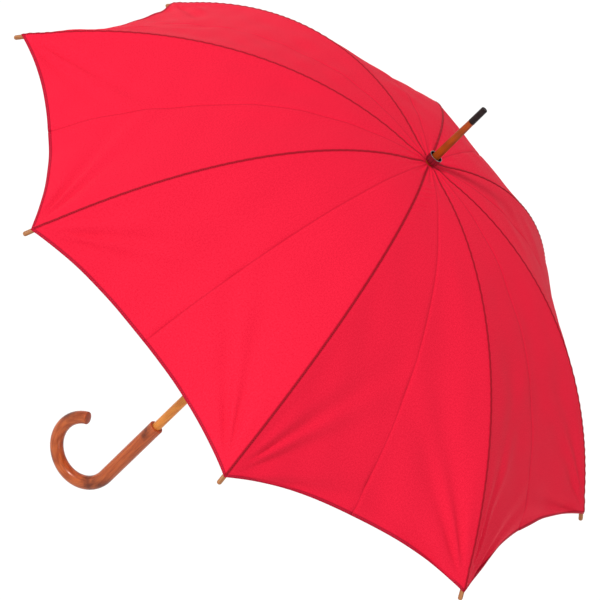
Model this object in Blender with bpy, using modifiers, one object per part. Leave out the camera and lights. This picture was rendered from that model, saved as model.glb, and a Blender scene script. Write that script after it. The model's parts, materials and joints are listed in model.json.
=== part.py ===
"""A stick umbrella, open: wooden stick and crook handle, eight folding ribs, red canopy.

Metres, +Z up along the stick.  The origin is the middle of the straight grip, the crook
bends towards +X, and the ribs stand either side of it.  Every rib hinges on a wire ring
in the top notch.  A stretcher as long as the inner rib joins it to the runner, so the
runner always stays level and slides straight along the stick.
"""

import math

import bmesh
import bpy
from mathutils import Matrix, Vector

# Fits
GAP = 0.0003  # between two pieces that touch
SLIDE_GAP = 0.0004  # runner on the stick
TURN_GAP = 0.00035  # eye on its wire or rivet

# Handle
GRIP_LENGTH = 0.120  # straight part
GRIP_RADIUS = 0.0105
CROOK_RADIUS = 0.048  # centre line of the bend
CROOK_TURN = math.radians(230)
CROOK_END_RADIUS = 0.0092
SOCKET_DEPTH = 0.045

# Stick
STICK_RADIUS = 0.0065
PEG_RADIUS = 0.003
PEG_LENGTH = 0.020

# Spike above the canopy
SPIKE_TIP = 0.114  # above the ribs' hinge
SPIKE_BASE_RADIUS = 0.0056
SPIKE_TIP_RADIUS = 0.0044
FERRULE_LENGTH = 0.027
FERRULE_WALL = 0.0006

# Frame
RIB_COUNT = 8
RIB_LENGTH = 0.585  # hinge to the far end of the wooden tip, along the rib
RIB_RADIUS = 0.0016
RIB_START_SLOPE = -0.100  # radians below level, so the rib first rises a little
RIB_SLOPE_GAIN = 1.397
RIB_SLOPE_EASE = -0.375
RING_OUT = 0.0040  # the ribs' and the stretchers' wire rings, from the stick's surface
ELBOW_AT = 0.272  # hinge to the stretcher's rivet, along the rib
CLOSED_ANGLE = math.radians(1.5)  # of the folded inner rib to the stick
WIRE_RADIUS = 0.0004
RIVET_RADIUS = 0.0007
EYE_RADIUS = 0.0020
EYE_WIDTH = 0.0024
EYE_SIDE = EYE_WIDTH / 4  # offset of each half eye where two rib parts meet
ELBOW_NECK = 0.0046
ELBOW_NECK_SHARE = 0.9  # the neck's thickness to its eye's
FORK_WALL = 0.0007
FORK_LENGTH = 0.016
FORK_END_SHARE = 0.85  # the fork's round ends to the rib's eye
STRETCHER_RADIUS = 0.0011
TIP_LENGTH = 0.022
TIP_RADIUS = 0.0031
TIP_SOCKET = 0.012
TIP_WALL = 0.0006  # round the socket's mouth

# Notch, runner and catches
COLLAR_WALL = 0.0010
FLANGE_RIM = 0.0023  # outside the wire ring
FLANGE_HALF = 0.0030
GROOVE_HALF = 0.0007
NOTCH_COLLAR = 0.020
RUNNER_COLLAR = 0.038
RUNNER_TO_HANDLE = 0.0085  # the runner's foot to the handle's rim, folded
CATCH_LENGTH = 0.020
CATCH_OUT = 0.0040  # of the nose, from the stick's surface
CATCH_WIDTH = 0.0012
CATCH_FOOT = 0.0014  # pivot's distance from the stick's axis
CATCH_PLAY = 0.0005  # lower nose to the end of the runner's window
CATCH_ROOM = 0.0018  # upper nose to the runner's foot, for the nose to swing in
CATCH_BEARING = math.radians(-90)  # the way the noses point, from +X
WINDOW_TOP = 0.010  # below the runner's wire
WINDOW_LENGTH = 0.018
PIN_RADIUS = 0.0008
STOP_PIN_OUT = 0.0023
NOTCH_PIN_UP = 0.006  # above the foot of the notch's collar

# Crown
ROSETTE_OVERHANG = 0.0002  # past the notch's rim
ROSETTE_THICKNESS = 0.0008
CUP_RADIUS = 0.0096
CUP_HEIGHT = 0.0125
CUP_WALL = 0.0007

# Canopy
CLOTH_THICKNESS = 0.0006
CLOTH_LIFT = 0.0029  # above the rib's axis
CROWN_RISE = 0.0020  # more over the notch
CROWN_REACH = 0.030
TIP_RISE = 0.0012  # more over the wooden tips
CLOTH_START = -0.0033
CORNER_BACK = 0.0115  # cloth's corner to the far end of the wooden tip
HEM_BACK = 0.038  # the hem's middle to the same length along the ribs
HEM_POWER = 2.6
GORE_DIP = 0.0165  # of the middle of a gore, at full rib length
GORE_DIP_POWER = 2.5
SEAM_GAP = 0.0005

# Tie strap
STRAP_RIB = 7
STRAP_BACK = 0.0435  # the button's end to the cloth's corner
STRAP_LENGTH = 0.130
STRAP_WIDTH = 0.014
STRAP_THICKNESS = 0.0008
BUTTON_RADIUS = 0.0050
BUTTON_HEIGHT = 0.0020

ROUND = 24
SMALL_ROUND = 10
WIRE_SIDES = 5
EYE_SIDES = 12
WALK_STEPS = 40

HANDLE_RIM = GRIP_LENGTH / 2
STEP_ANGLE = math.tau / RIB_COUNT
HALF_STEP = STEP_ANGLE / 2
COLLAR_BORE = STICK_RADIUS + GAP
COLLAR_OUTER = STICK_RADIUS + SLIDE_GAP + COLLAR_WALL
HINGE_RADIUS = STICK_RADIUS + RING_OUT
FLANGE_RADIUS = HINGE_RADIUS + FLANGE_RIM
GROOVE_RADIUS = HINGE_RADIUS - GROOVE_HALF
SLOT_WIDTH = 2 * RIB_RADIUS + 2 * GAP
SLOT_START = HINGE_RADIUS - EYE_RADIUS - GAP
CATCH_REACH = STICK_RADIUS + CATCH_OUT
CLOTH_CORNER = RIB_LENGTH - CORNER_BACK
HEM_MIDDLE = RIB_LENGTH - HEM_BACK
STRAP_START = CLOTH_CORNER - STRAP_BACK - STRAP_LENGTH


# ---------------------------------------------------------------- the rib's curve


def rib_slope(along):
    share = along / RIB_LENGTH
    return RIB_START_SLOPE + RIB_SLOPE_GAIN * share + RIB_SLOPE_EASE * share**2


def rib_run(along):
    """Radius from the stick, and drop below the hinge, of the rib's axis."""
    radius = HINGE_RADIUS
    drop = 0.0
    step = along / WALK_STEPS
    for count in range(WALK_STEPS):
        slope = rib_slope((count + 0.5) * step)
        radius += step * math.cos(slope)
        drop += step * math.sin(slope)
    return radius, drop


ELBOW_RADIUS, ELBOW_DROP = rib_run(ELBOW_AT)
ARM = math.hypot(ELBOW_RADIUS - HINGE_RADIUS, ELBOW_DROP)
OPEN_ANGLE = math.atan2(ELBOW_RADIUS - HINGE_RADIUS, ELBOW_DROP)
RUNNER_CLOSED_Z = HANDLE_RIM + RUNNER_TO_HANDLE + RUNNER_COLLAR
NOTCH_Z = RUNNER_CLOSED_Z + 2 * ARM * math.cos(CLOSED_ANGLE)
RUNNER_OPEN_Z = NOTCH_Z - 2 * ARM * math.cos(OPEN_ANGLE)
STOP_PIN_Z = RUNNER_OPEN_Z + FLANGE_HALF + PIN_RADIUS + CATCH_PLAY
NOTCH_PIN_Z = NOTCH_Z - NOTCH_COLLAR + NOTCH_PIN_UP
TOP_CATCH_Z = RUNNER_OPEN_Z - RUNNER_COLLAR - CATCH_ROOM - CATCH_LENGTH
BOTTOM_CATCH_Z = RUNNER_CLOSED_Z - WINDOW_TOP - WINDOW_LENGTH + CATCH_PLAY + CATCH_LENGTH


def rib_place(along, lift=0.0, side=0.0):
    """A point over the rib along +X: lift is square to the rib, side is across it."""
    radius, drop = rib_run(along)
    slope = rib_slope(along)
    height = NOTCH_Z - drop + lift * math.cos(slope)
    return Vector((radius + lift * math.sin(slope), side, height))


HINGE = rib_place(0.0)
ELBOW = rib_place(ELBOW_AT)
RUNNER_HINGE = Vector((HINGE_RADIUS, 0, RUNNER_OPEN_Z))


# ---------------------------------------------------------------- shared helpers


def clear_scene():
    for obj in list(bpy.data.objects):
        bpy.data.objects.remove(obj, do_unlink=True)


def make_collection(name):
    collection = bpy.data.collections.new(name)
    bpy.context.scene.collection.children.link(collection)
    return collection


def material(name, color, roughness, metallic=0.0):
    made = bpy.data.materials.new(name)
    made.use_nodes = True
    shader = made.node_tree.nodes["Principled BSDF"]
    shader.inputs["Base Color"].default_value = (*color, 1.0)
    shader.inputs["Roughness"].default_value = roughness
    shader.inputs["Metallic"].default_value = metallic
    return made


def new_object(name, data, collection, look=None):
    obj = bpy.data.objects.new(name, data)
    collection.objects.link(obj)
    if look:
        data.materials.clear()
        data.materials.append(look)
    return obj


def smooth(mesh, angle=35):
    mesh.shade_smooth()
    mesh.set_sharp_from_angle(angle=math.radians(angle))


def as_cutter(obj):
    obj.hide_render = True
    obj.display_type = "WIRE"
    return obj


def boolean(obj, other, operation="DIFFERENCE"):
    step = obj.modifiers.new(operation.lower(), "BOOLEAN")
    step.operation = operation
    step.solver = "EXACT"
    step.object = other


def turned(name, profile, collection, look=None, steps=ROUND):
    """A closed (radius, height) outline turned round Z; the outer side runs downwards."""
    mesh = bpy.data.meshes.new(name)
    bm = bmesh.new()
    points = [bm.verts.new((radius, 0, height)) for radius, height in profile]
    ends_on_axis = profile[0][0] == 0 and profile[-1][0] == 0
    for first, second in zip(points, points[1:]):
        bm.edges.new((first, second))
    if not ends_on_axis:
        bm.edges.new((points[-1], points[0]))
    bm.to_mesh(mesh)
    bm.free()
    obj = new_object(name, mesh, collection, look)
    screw = obj.modifiers.new("turn", "SCREW")
    screw.axis = "Z"
    screw.angle = math.tau
    screw.steps = steps
    screw.render_steps = steps
    screw.use_merge_vertices = True
    screw.merge_threshold = 0.00001
    screw.use_smooth_shade = True
    return obj


def box(name, low, high, collection):
    mesh = bpy.data.meshes.new(name)
    bm = bmesh.new()
    bmesh.ops.create_cube(bm, size=1.0)
    size = Vector(high) - Vector(low)
    middle = (Vector(high) + Vector(low)) / 2
    bmesh.ops.scale(bm, vec=size, verts=bm.verts)
    bmesh.ops.translate(bm, vec=middle, verts=bm.verts)
    bm.to_mesh(mesh)
    bm.free()
    return new_object(name, mesh, collection)


def cross_pin(name, radius, half_length, at, collection, look=None, sides=SMALL_ROUND):
    """A cylinder along Y through the point at."""
    mesh = bpy.data.meshes.new(name)
    bm = bmesh.new()
    bmesh.ops.create_cone(
        bm, cap_ends=True, segments=sides, radius1=radius, radius2=radius, depth=2 * half_length
    )
    bmesh.ops.rotate(bm, cent=(0, 0, 0), matrix=Matrix.Rotation(math.pi / 2, 3, "X"), verts=bm.verts)
    bmesh.ops.translate(bm, vec=at, verts=bm.verts)
    bm.to_mesh(mesh)
    bm.free()
    return new_object(name, mesh, collection, look)


def tube(name, points, radii, collection, resolution=1):
    """A rod through the points, as a mesh with welded end caps."""
    curve = bpy.data.curves.new(name, "CURVE")
    curve.dimensions = "3D"
    curve.bevel_depth = 1.0
    curve.bevel_resolution = resolution
    curve.use_fill_caps = True
    line = curve.splines.new("POLY")
    line.points.add(len(points) - 1)
    for point, place, radius in zip(line.points, points, radii):
        point.co = (*place, 1.0)
        point.radius = radius
    drawn = bpy.data.objects.new(name, curve)
    bpy.context.scene.collection.objects.link(drawn)
    mesh = welded_mesh(drawn)
    bpy.data.objects.remove(drawn, do_unlink=True)
    bpy.data.curves.remove(curve)
    return new_object(name, mesh, collection)


def welded_mesh(obj):
    graph = bpy.context.evaluated_depsgraph_get()
    graph.update()
    mesh = bpy.data.meshes.new_from_object(obj.evaluated_get(graph))
    bm = bmesh.new()
    bm.from_mesh(mesh)
    bmesh.ops.remove_doubles(bm, verts=bm.verts, dist=0.000001)
    bm.normal_update()
    bm.to_mesh(mesh)
    bm.free()
    return mesh


def extruded(name, outline, thickness, collection, look=None):
    """A flat (x, z) outline as a plate lying in the XZ plane."""
    curve = bpy.data.curves.new(name, "CURVE")
    curve.dimensions = "2D"
    curve.fill_mode = "BOTH"
    curve.extrude = thickness / 2
    line = curve.splines.new("POLY")
    line.points.add(len(outline) - 1)
    line.use_cyclic_u = True
    for point, (x, z) in zip(line.points, outline):
        point.co = (x, z, 0, 1.0)
    drawn = bpy.data.objects.new(name, curve)
    bpy.context.scene.collection.objects.link(drawn)
    mesh = welded_mesh(drawn)
    mesh.transform(Matrix.Rotation(math.pi / 2, 4, "X"))
    bpy.data.objects.remove(drawn, do_unlink=True)
    bpy.data.curves.remove(curve)
    return new_object(name, mesh, collection, look)


def finished_mesh(obj):
    """The object's mesh with its modifiers applied; the object itself goes."""
    mesh = welded_mesh(obj)
    smooth(mesh)
    bpy.data.objects.remove(obj, do_unlink=True)
    return mesh


def turn_about_stick(index):
    """The azimuth of rib number index, the first one beside the crook."""
    return HALF_STEP + (index - 1) * STEP_ANGLE


def spread(name, mesh, collection, look, origin):
    """One object for each rib, sharing a mesh made for a rib along +X, origin on its joint."""
    mesh.transform(Matrix.Translation(-Vector(origin)))
    mesh.materials.clear()
    mesh.materials.append(look)
    for index in range(1, RIB_COUNT + 1):
        turn = Matrix.Rotation(turn_about_stick(index), 4, "Z")
        obj = new_object(f"{name}_{index}", mesh, collection)
        obj.location = turn @ Vector(origin)
        obj.rotation_euler = (0, 0, turn_about_stick(index))


# ---------------------------------------------------------------- stick, handle, spike


def stick_profile():
    bottom = HANDLE_RIM - SOCKET_DEPTH + GAP
    top = NOTCH_Z + FLANGE_HALF
    chamfer = 0.0005
    return [
        (0, top + PEG_LENGTH),
        (PEG_RADIUS - chamfer, top + PEG_LENGTH),
        (PEG_RADIUS, top + PEG_LENGTH - chamfer),
        (PEG_RADIUS, top),
        (STICK_RADIUS - chamfer, top),
        (STICK_RADIUS, top - chamfer),
        (STICK_RADIUS, bottom + chamfer),
        (STICK_RADIUS - chamfer, bottom),
        (0, bottom),
    ]


def catch_slot(name, pivot_z, direction, cutters):
    """The slot in the stick that a catch spring lies in; direction is +1 upwards."""
    ends = sorted((pivot_z - direction * 0.0025, pivot_z + direction * (CATCH_LENGTH + 0.0015)))
    half = CATCH_WIDTH / 2 + GAP
    low = (-0.0016, -half, ends[0])
    high = (STICK_RADIUS + 0.002, half, ends[1])
    slot = box(name, low, high, cutters)
    slot.data.transform(Matrix.Rotation(CATCH_BEARING, 4, "Z"))
    return as_cutter(slot)


def make_stick(parts, cutters, look):
    stick = turned("shaft", stick_profile(), parts, look)
    boolean(stick, catch_slot("top_catch_slot", TOP_CATCH_Z, 1, cutters))
    boolean(stick, catch_slot("bottom_catch_slot", BOTTOM_CATCH_Z, -1, cutters))
    for name, place in (("stop_pin_hole", STOP_PIN_Z), ("notch_pin_hole", NOTCH_PIN_Z)):
        hole = cross_pin(name, PIN_RADIUS + GAP, 0.02, (0, 0, place), cutters)
        boolean(stick, as_cutter(hole))


def handle_line():
    """Points and radii along the handle, from its rim down and round the crook."""
    edge = 0.0012
    lengths = (0, edge, GRIP_LENGTH * 0.5, GRIP_LENGTH)
    points = [Vector((0, 0, HANDLE_RIM - length)) for length in lengths]
    radii = [GRIP_RADIUS - edge * 0.6, GRIP_RADIUS, GRIP_RADIUS, GRIP_RADIUS]
    turns = 22
    for count in range(1, turns + 1):
        angle = CROOK_TURN * count / turns
        across = CROOK_RADIUS * (1 - math.cos(angle))
        down = CROOK_RADIUS * math.sin(angle)
        points.append(Vector((across, 0, -GRIP_LENGTH / 2 - down)))
        radii.append(GRIP_RADIUS + (CROOK_END_RADIUS - GRIP_RADIUS) * count / turns)
    tail = (points[-1] - points[-2]).normalized()
    points.append(points[-1] + tail * edge)
    radii.append(CROOK_END_RADIUS - edge)
    return points, radii


def make_handle(parts, cutters, look):
    points, radii = handle_line()
    handle = tube("handle", points, radii, parts, resolution=5)
    handle.data.materials.append(look)
    smooth(handle.data)
    rim = HANDLE_RIM
    profile = [(0, rim + 0.01), (COLLAR_BORE, rim + 0.01), (COLLAR_BORE, rim - SOCKET_DEPTH)]
    profile.append((0, rim - SOCKET_DEPTH))
    socket = turned("handle_socket", profile, cutters)
    boolean(handle, as_cutter(socket))


def make_spike(parts, wood, metal):
    base = NOTCH_Z + FLANGE_HALF + GAP
    tip = NOTCH_Z + SPIKE_TIP
    shoulder = tip - FERRULE_LENGTH
    bore = PEG_RADIUS + GAP
    core = SPIKE_TIP_RADIUS - FERRULE_WALL
    seat = tip - 0.0015 - GAP
    spike = [
        (0, seat),
        (core, seat),
        (core, shoulder),
        (SPIKE_TIP_RADIUS, shoulder),
        (SPIKE_BASE_RADIUS, base),
        (bore, base),
        (bore, base + PEG_LENGTH),
        (0, base + PEG_LENGTH),
    ]
    turned("spike", spike, parts, wood)
    outer = SPIKE_TIP_RADIUS + 0.0002
    inner = core + GAP
    ferrule = [
        (0, tip),
        (outer - 0.0012, tip),
        (outer - 0.0003, tip - 0.0005),
        (outer, tip - 0.0015),
        (outer, shoulder + GAP),
        (inner, shoulder + GAP),
        (inner, tip - 0.0015),
        (0, tip - 0.0015),
    ]
    turned("ferrule_cap", ferrule, parts, metal)


# ---------------------------------------------------------------- notch and runner


def wire_groove(middle):
    """Outline of a flange's rim with the groove for its wire, going down."""
    return [
        (FLANGE_RADIUS - 0.0004, middle + FLANGE_HALF),
        (FLANGE_RADIUS, middle + FLANGE_HALF - 0.0004),
        (FLANGE_RADIUS, middle + GROOVE_HALF),
        (GROOVE_RADIUS, middle + GROOVE_HALF),
        (GROOVE_RADIUS, middle - GROOVE_HALF),
        (FLANGE_RADIUS, middle - GROOVE_HALF),
        (FLANGE_RADIUS, middle - FLANGE_HALF + 0.0004),
        (FLANGE_RADIUS - 0.0004, middle - FLANGE_HALF),
    ]


def rib_slots(name, middle, cutters):
    """Eight radial slots through a flange, as one cutter of four long boxes."""
    mesh = bpy.data.meshes.new(name)
    bm = bmesh.new()
    for index in range(1, RIB_COUNT + 1):
        made = bmesh.ops.create_cube(bm, size=1.0)["verts"]
        length = FLANGE_RADIUS + 0.002 - SLOT_START
        bmesh.ops.scale(bm, vec=(length, SLOT_WIDTH, 3 * FLANGE_HALF), verts=made)
        bmesh.ops.translate(bm, vec=(SLOT_START + length / 2, 0, middle), verts=made)
        turn = Matrix.Rotation(turn_about_stick(index), 3, "Z")
        bmesh.ops.rotate(bm, cent=(0, 0, 0), matrix=turn, verts=made)
    bm.to_mesh(mesh)
    bm.free()
    return as_cutter(new_object(name, mesh, cutters))


def make_notch(parts, cutters, metal, steel):
    foot = NOTCH_Z - NOTCH_COLLAR
    profile = [(COLLAR_BORE, foot), (COLLAR_BORE, NOTCH_Z + FLANGE_HALF)]
    profile += wire_groove(NOTCH_Z)
    profile += [(COLLAR_OUTER, NOTCH_Z - FLANGE_HALF), (COLLAR_OUTER, foot)]
    notch = turned("top_notch", profile, parts, metal)
    boolean(notch, rib_slots("notch_slots", NOTCH_Z, cutters))
    hole = cross_pin("notch_collar_hole", PIN_RADIUS + GAP, 0.02, (0, 0, NOTCH_PIN_Z), cutters)
    boolean(notch, as_cutter(hole))
    cross_pin("notch_pin", PIN_RADIUS, COLLAR_OUTER, (0, 0, NOTCH_PIN_Z), parts, steel)
    cross_pin("stop_pin", PIN_RADIUS, STICK_RADIUS + STOP_PIN_OUT, (0, 0, STOP_PIN_Z), parts, steel)
    wire_ring("notch_wire", NOTCH_Z, parts, steel)


def wire_ring(name, height, parts, look):
    profile = []
    for count in range(WIRE_SIDES):
        angle = -math.tau * count / WIRE_SIDES
        radius = HINGE_RADIUS + WIRE_RADIUS * math.cos(angle)
        profile.append((radius, height + WIRE_RADIUS * math.sin(angle)))
    turned(name, profile, parts, look, steps=24)


def make_runner(parts, cutters, metal, steel):
    bore = STICK_RADIUS + SLIDE_GAP
    foot = RUNNER_OPEN_Z - RUNNER_COLLAR
    profile = [(bore, foot), (bore, RUNNER_OPEN_Z + FLANGE_HALF)]
    profile += wire_groove(RUNNER_OPEN_Z)
    profile += [
        (COLLAR_OUTER, RUNNER_OPEN_Z - FLANGE_HALF),
        (COLLAR_OUTER, foot + 0.006),
        (COLLAR_OUTER + 0.0012, foot + 0.004),
        (COLLAR_OUTER + 0.0012, foot),
    ]
    runner = turned("runner", profile, parts, metal)
    boolean(runner, rib_slots("runner_slots", RUNNER_OPEN_Z, cutters))
    half = CATCH_WIDTH / 2 + 0.0006
    top = RUNNER_OPEN_Z - WINDOW_TOP
    window = box("runner_window", (0, -half, top - WINDOW_LENGTH), (0.02, half, top), cutters)
    window.data.transform(Matrix.Rotation(CATCH_BEARING, 4, "Z"))
    boolean(runner, as_cutter(window))
    wire_ring("runner_wire", RUNNER_OPEN_Z, parts, steel)


# ---------------------------------------------------------------- catches


def make_catch(name, pivot_z, direction, parts, look):
    """A leaf in its slot: its nose stands out of the stick and presses in about the pivot."""
    outline = [
        (-CATCH_FOOT, -0.0012),
        (0.0014, -0.0012),
        (CATCH_REACH - CATCH_FOOT, CATCH_LENGTH - 0.003),
        (CATCH_REACH - CATCH_FOOT, CATCH_LENGTH),
        (0.0021, CATCH_LENGTH),
    ]
    leaf = [(x, direction * z) for x, z in outline]
    if direction < 0:
        leaf.reverse()
    obj = extruded(name, leaf, CATCH_WIDTH, parts, look)
    turn = Matrix.Rotation(CATCH_BEARING, 4, "Z")
    obj.location = turn @ Vector((CATCH_FOOT, 0, pivot_z))
    obj.rotation_euler = (0, 0, CATCH_BEARING)


# ---------------------------------------------------------------- ribs and stretchers


def eye_disc(name, at, width, collection, radius=EYE_RADIUS, side=0.0):
    place = Vector(at) + Vector((0, side, 0))
    return cross_pin(name, radius, width / 2, place, collection, sides=EYE_SIDES)


def joined(pieces):
    """Several overlapping solids made one by Boolean unions."""
    body = pieces[0]
    for other in pieces[1:]:
        boolean(body, as_cutter(other), "UNION")
    return body


def pierced(body, at, radius, collection):
    hole = cross_pin("eye_hole", radius, 0.01, at, collection, sides=8)
    boolean(body, as_cutter(hole))
    return hole


def rod_places(start, end, count):
    return [rib_place(start + (end - start) * step / count) for step in range(count + 1)]


def elbow_end(start, end, count, side):
    """Rod places and radii from start to the elbow, where the rod steps aside to its eye.

    The rod stops at end, and its neck runs to the elbow on the given side.
    """
    neck = (EYE_SIDE - GAP / 2) * ELBOW_NECK_SHARE
    past = math.copysign(EYE_RADIUS + 0.0006, end - ELBOW_AT)
    places = rod_places(start, end, count)
    places.append(rib_place(ELBOW_AT + past, side=side * EYE_SIDE))
    places.append(ELBOW + Vector((0, side * EYE_SIDE, 0)))
    radii = [RIB_RADIUS] * (count + 1) + [neck, neck]
    return places, radii


def make_inner_ribs(parts, work, look):
    """From the notch's wire to the elbow, where it carries the rivet."""
    places, radii = elbow_end(EYE_RADIUS * 0.6, ELBOW_AT - ELBOW_NECK, 7, 1)
    rod = tube("inner_rod", places, radii, work)
    hinge_eye = eye_disc("hinge_eye", HINGE, EYE_WIDTH, work)
    elbow_eye = eye_disc("inner_elbow_eye", ELBOW, 2 * EYE_SIDE - GAP, work, side=EYE_SIDE)
    rivet_half = RIB_RADIUS + TURN_GAP + FORK_WALL + GAP
    rivet = cross_pin("rivet", RIVET_RADIUS, rivet_half, ELBOW, work, sides=8)
    rib = joined([rod, hinge_eye, elbow_eye, rivet])
    pierced(rib, HINGE, WIRE_RADIUS + TURN_GAP, work)
    spread("rib_inner", finished_mesh(rib), parts, look, HINGE)


def make_outer_ribs(parts, work, look):
    """From the elbow to the socket of the wooden tip."""
    far_end = RIB_LENGTH - TIP_LENGTH + TIP_SOCKET - GAP
    places, radii = elbow_end(far_end, ELBOW_AT + ELBOW_NECK, 8, -1)
    rod = tube("outer_rod", places, radii, work)
    eye = eye_disc("outer_elbow_eye", ELBOW, 2 * EYE_SIDE - GAP, work, side=-EYE_SIDE)
    rib = joined([rod, eye])
    pierced(rib, ELBOW, RIVET_RADIUS + TURN_GAP, work)
    spread("rib_outer", finished_mesh(rib), parts, look, ELBOW)


def make_tips(parts, look):
    """Wooden bead on each rib end, its socket towards the rib."""
    start = RIB_LENGTH - TIP_LENGTH
    socket = RIB_RADIUS + 2 * GAP
    mouth = socket + TIP_WALL
    chamfer = TIP_WALL / 3
    profile = [
        (0, TIP_LENGTH),
        (TIP_RADIUS * 0.55, TIP_LENGTH - 0.0004),
        (TIP_RADIUS * 0.9, TIP_LENGTH - 0.0016),
        (TIP_RADIUS, TIP_LENGTH - 0.0035),
        (TIP_RADIUS, TIP_LENGTH * 0.5),
        (mouth, chamfer),
        (mouth - chamfer, 0),
        (socket, 0),
        (socket, TIP_SOCKET),
        (0, TIP_SOCKET),
    ]
    bead = turned("tip_bead", profile, parts, look, steps=SMALL_ROUND)
    mesh = finished_mesh(bead)
    middle = start + TIP_SOCKET / 2
    lean = Matrix.Rotation(math.pi / 2 + rib_slope(middle), 4, "Y")
    along = Vector((math.cos(rib_slope(middle)), 0, -math.sin(rib_slope(middle))))
    foot = rib_place(middle) - along * (TIP_SOCKET / 2)
    mesh.transform(Matrix.Translation(foot) @ lean)
    spread("rib_tip", mesh, parts, look, foot)


def make_stretchers(parts, work, look):
    """A rod from the runner's wire, ending in a fork that straddles the elbow."""
    along = (ELBOW - RUNNER_HINGE).normalized()
    lean = Matrix.Rotation(math.atan2(-along.z, along.x), 4, "Y")
    rod_end = ARM - FORK_LENGTH + 0.001
    rod = tube(
        "stretcher_rod",
        [RUNNER_HINGE + along * EYE_RADIUS * 0.5, RUNNER_HINGE + along * rod_end],
        [STRETCHER_RADIUS] * 2,
        work,
    )
    eye = eye_disc("runner_eye", RUNNER_HINGE, EYE_WIDTH, work, radius=EYE_RADIUS)
    inside = RIB_RADIUS + TURN_GAP
    outside = inside + FORK_WALL
    wide = EYE_RADIUS * 0.75
    fork = box("fork", (ARM - FORK_LENGTH - 0.004, -outside, -wide), (ARM, outside, wide), work)
    space = box("fork_space", (ARM - FORK_LENGTH, -inside, -0.01), (ARM + 0.01, inside, 0.01), work)
    for piece in (fork, space):
        piece.data.transform(Matrix.Translation(RUNNER_HINGE) @ lean)
    ends = eye_disc(
        "fork_ends", ELBOW, 2 * outside - FORK_WALL / 4, work, radius=EYE_RADIUS * FORK_END_SHARE
    )
    stretcher = joined([fork, ends, rod, eye])
    boolean(stretcher, as_cutter(space))
    pierced(stretcher, ELBOW, RIVET_RADIUS + TURN_GAP, work)
    pierced(stretcher, RUNNER_HINGE, WIRE_RADIUS + TURN_GAP, work)
    spread("stretcher", finished_mesh(stretcher), parts, look, RUNNER_HINGE)


# ---------------------------------------------------------------- crown


def make_crown(parts, cloth, metal):
    top = NOTCH_Z + FLANGE_HALF + GAP
    inner = SPIKE_BASE_RADIUS + GAP
    outer = FLANGE_RADIUS + ROSETTE_OVERHANG
    rosette = [
        (inner, top + ROSETTE_THICKNESS),
        (outer, top + ROSETTE_THICKNESS),
        (outer, top),
        (inner, top),
    ]
    turned("rosette", rosette, parts, cloth)
    base = NOTCH_Z + CLOTH_LIFT + CROWN_RISE + CLOTH_THICKNESS + GAP
    cup = [
        (inner, base + CUP_WALL),
        (CUP_RADIUS * 0.62, base + CUP_WALL),
        (CUP_RADIUS * 0.80, base + CUP_WALL + 0.0012),
        (CUP_RADIUS - CUP_WALL - 0.0002, base + CUP_HEIGHT * 0.45),
        (CUP_RADIUS - CUP_WALL, base + CUP_HEIGHT - 0.0003),
        (CUP_RADIUS - CUP_WALL / 2, base + CUP_HEIGHT),
        (CUP_RADIUS, base + CUP_HEIGHT - 0.0003),
        (CUP_RADIUS - 0.0002, base + CUP_HEIGHT * 0.40),
        (CUP_RADIUS * 0.86, base + 0.0010),
        (CUP_RADIUS * 0.66, base),
        (inner, base),
    ]
    turned("crown_cap", cup, parts, metal)


# ---------------------------------------------------------------- canopy


def ease(share):
    share = min(1.0, max(0.0, share))
    return share * share * (3 - 2 * share)


def cloth_lift(along):
    """Height of the cloth's inner side over the ribs' axes."""
    crown = CROWN_RISE * (1 - ease(along / CROWN_REACH))
    tip = TIP_RISE * ease((along - RIB_LENGTH + 2 * TIP_LENGTH) / TIP_LENGTH)
    return CLOTH_LIFT + crown + tip


def gore_point(along, across):
    """A point of the cloth's inner side; across runs from -1 to 1 between two ribs.

    The gore lies on +X, half a step either side.
    """
    radius, drop = rib_run(along)
    slope = rib_slope(along)
    azimuth = across * HALF_STEP
    dip = GORE_DIP * max(along / RIB_LENGTH, 0) ** GORE_DIP_POWER * (1 - across**2)
    raised = cloth_lift(along) - dip
    out = raised * math.sin(slope)
    x = radius * math.cos(HALF_STEP) + out * math.cos(azimuth)
    y = across * (radius * math.sin(HALF_STEP) - SEAM_GAP / 2) + out * math.sin(azimuth)
    return Vector((x, y, NOTCH_Z - drop + raised * math.cos(slope)))


def hem_at(across):
    return HEM_MIDDLE + (CLOTH_CORNER - HEM_MIDDLE) * abs(across) ** HEM_POWER


def make_gores(parts, look):
    rows = 10
    columns = 4
    mesh = bpy.data.meshes.new("canopy_gore")
    bm = bmesh.new()
    grid = []
    for row in range(rows + 1):
        line = []
        for column in range(columns + 1):
            across = 2 * column / columns - 1
            along = CLOTH_START + (hem_at(across) - CLOTH_START) * row / rows
            line.append(bm.verts.new(gore_point(along, across)))
        grid.append(line)
    for upper, lower in zip(grid, grid[1:]):
        for column in range(columns):
            bm.faces.new((upper[column], lower[column], lower[column + 1], upper[column + 1]))
    bm.normal_update()
    bm.to_mesh(mesh)
    bm.free()
    mesh.materials.append(look)
    for index in range(1, RIB_COUNT + 1):
        obj = new_object(f"canopy_gore_{index}", mesh, parts)
        obj.rotation_euler = (0, 0, turn_about_stick(index) + HALF_STEP)
        shell = obj.modifiers.new("cloth", "SOLIDIFY")
        shell.thickness = CLOTH_THICKNESS
        shell.offset = 1.0
        shell.use_even_offset = True
    mesh.shade_smooth()


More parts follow.
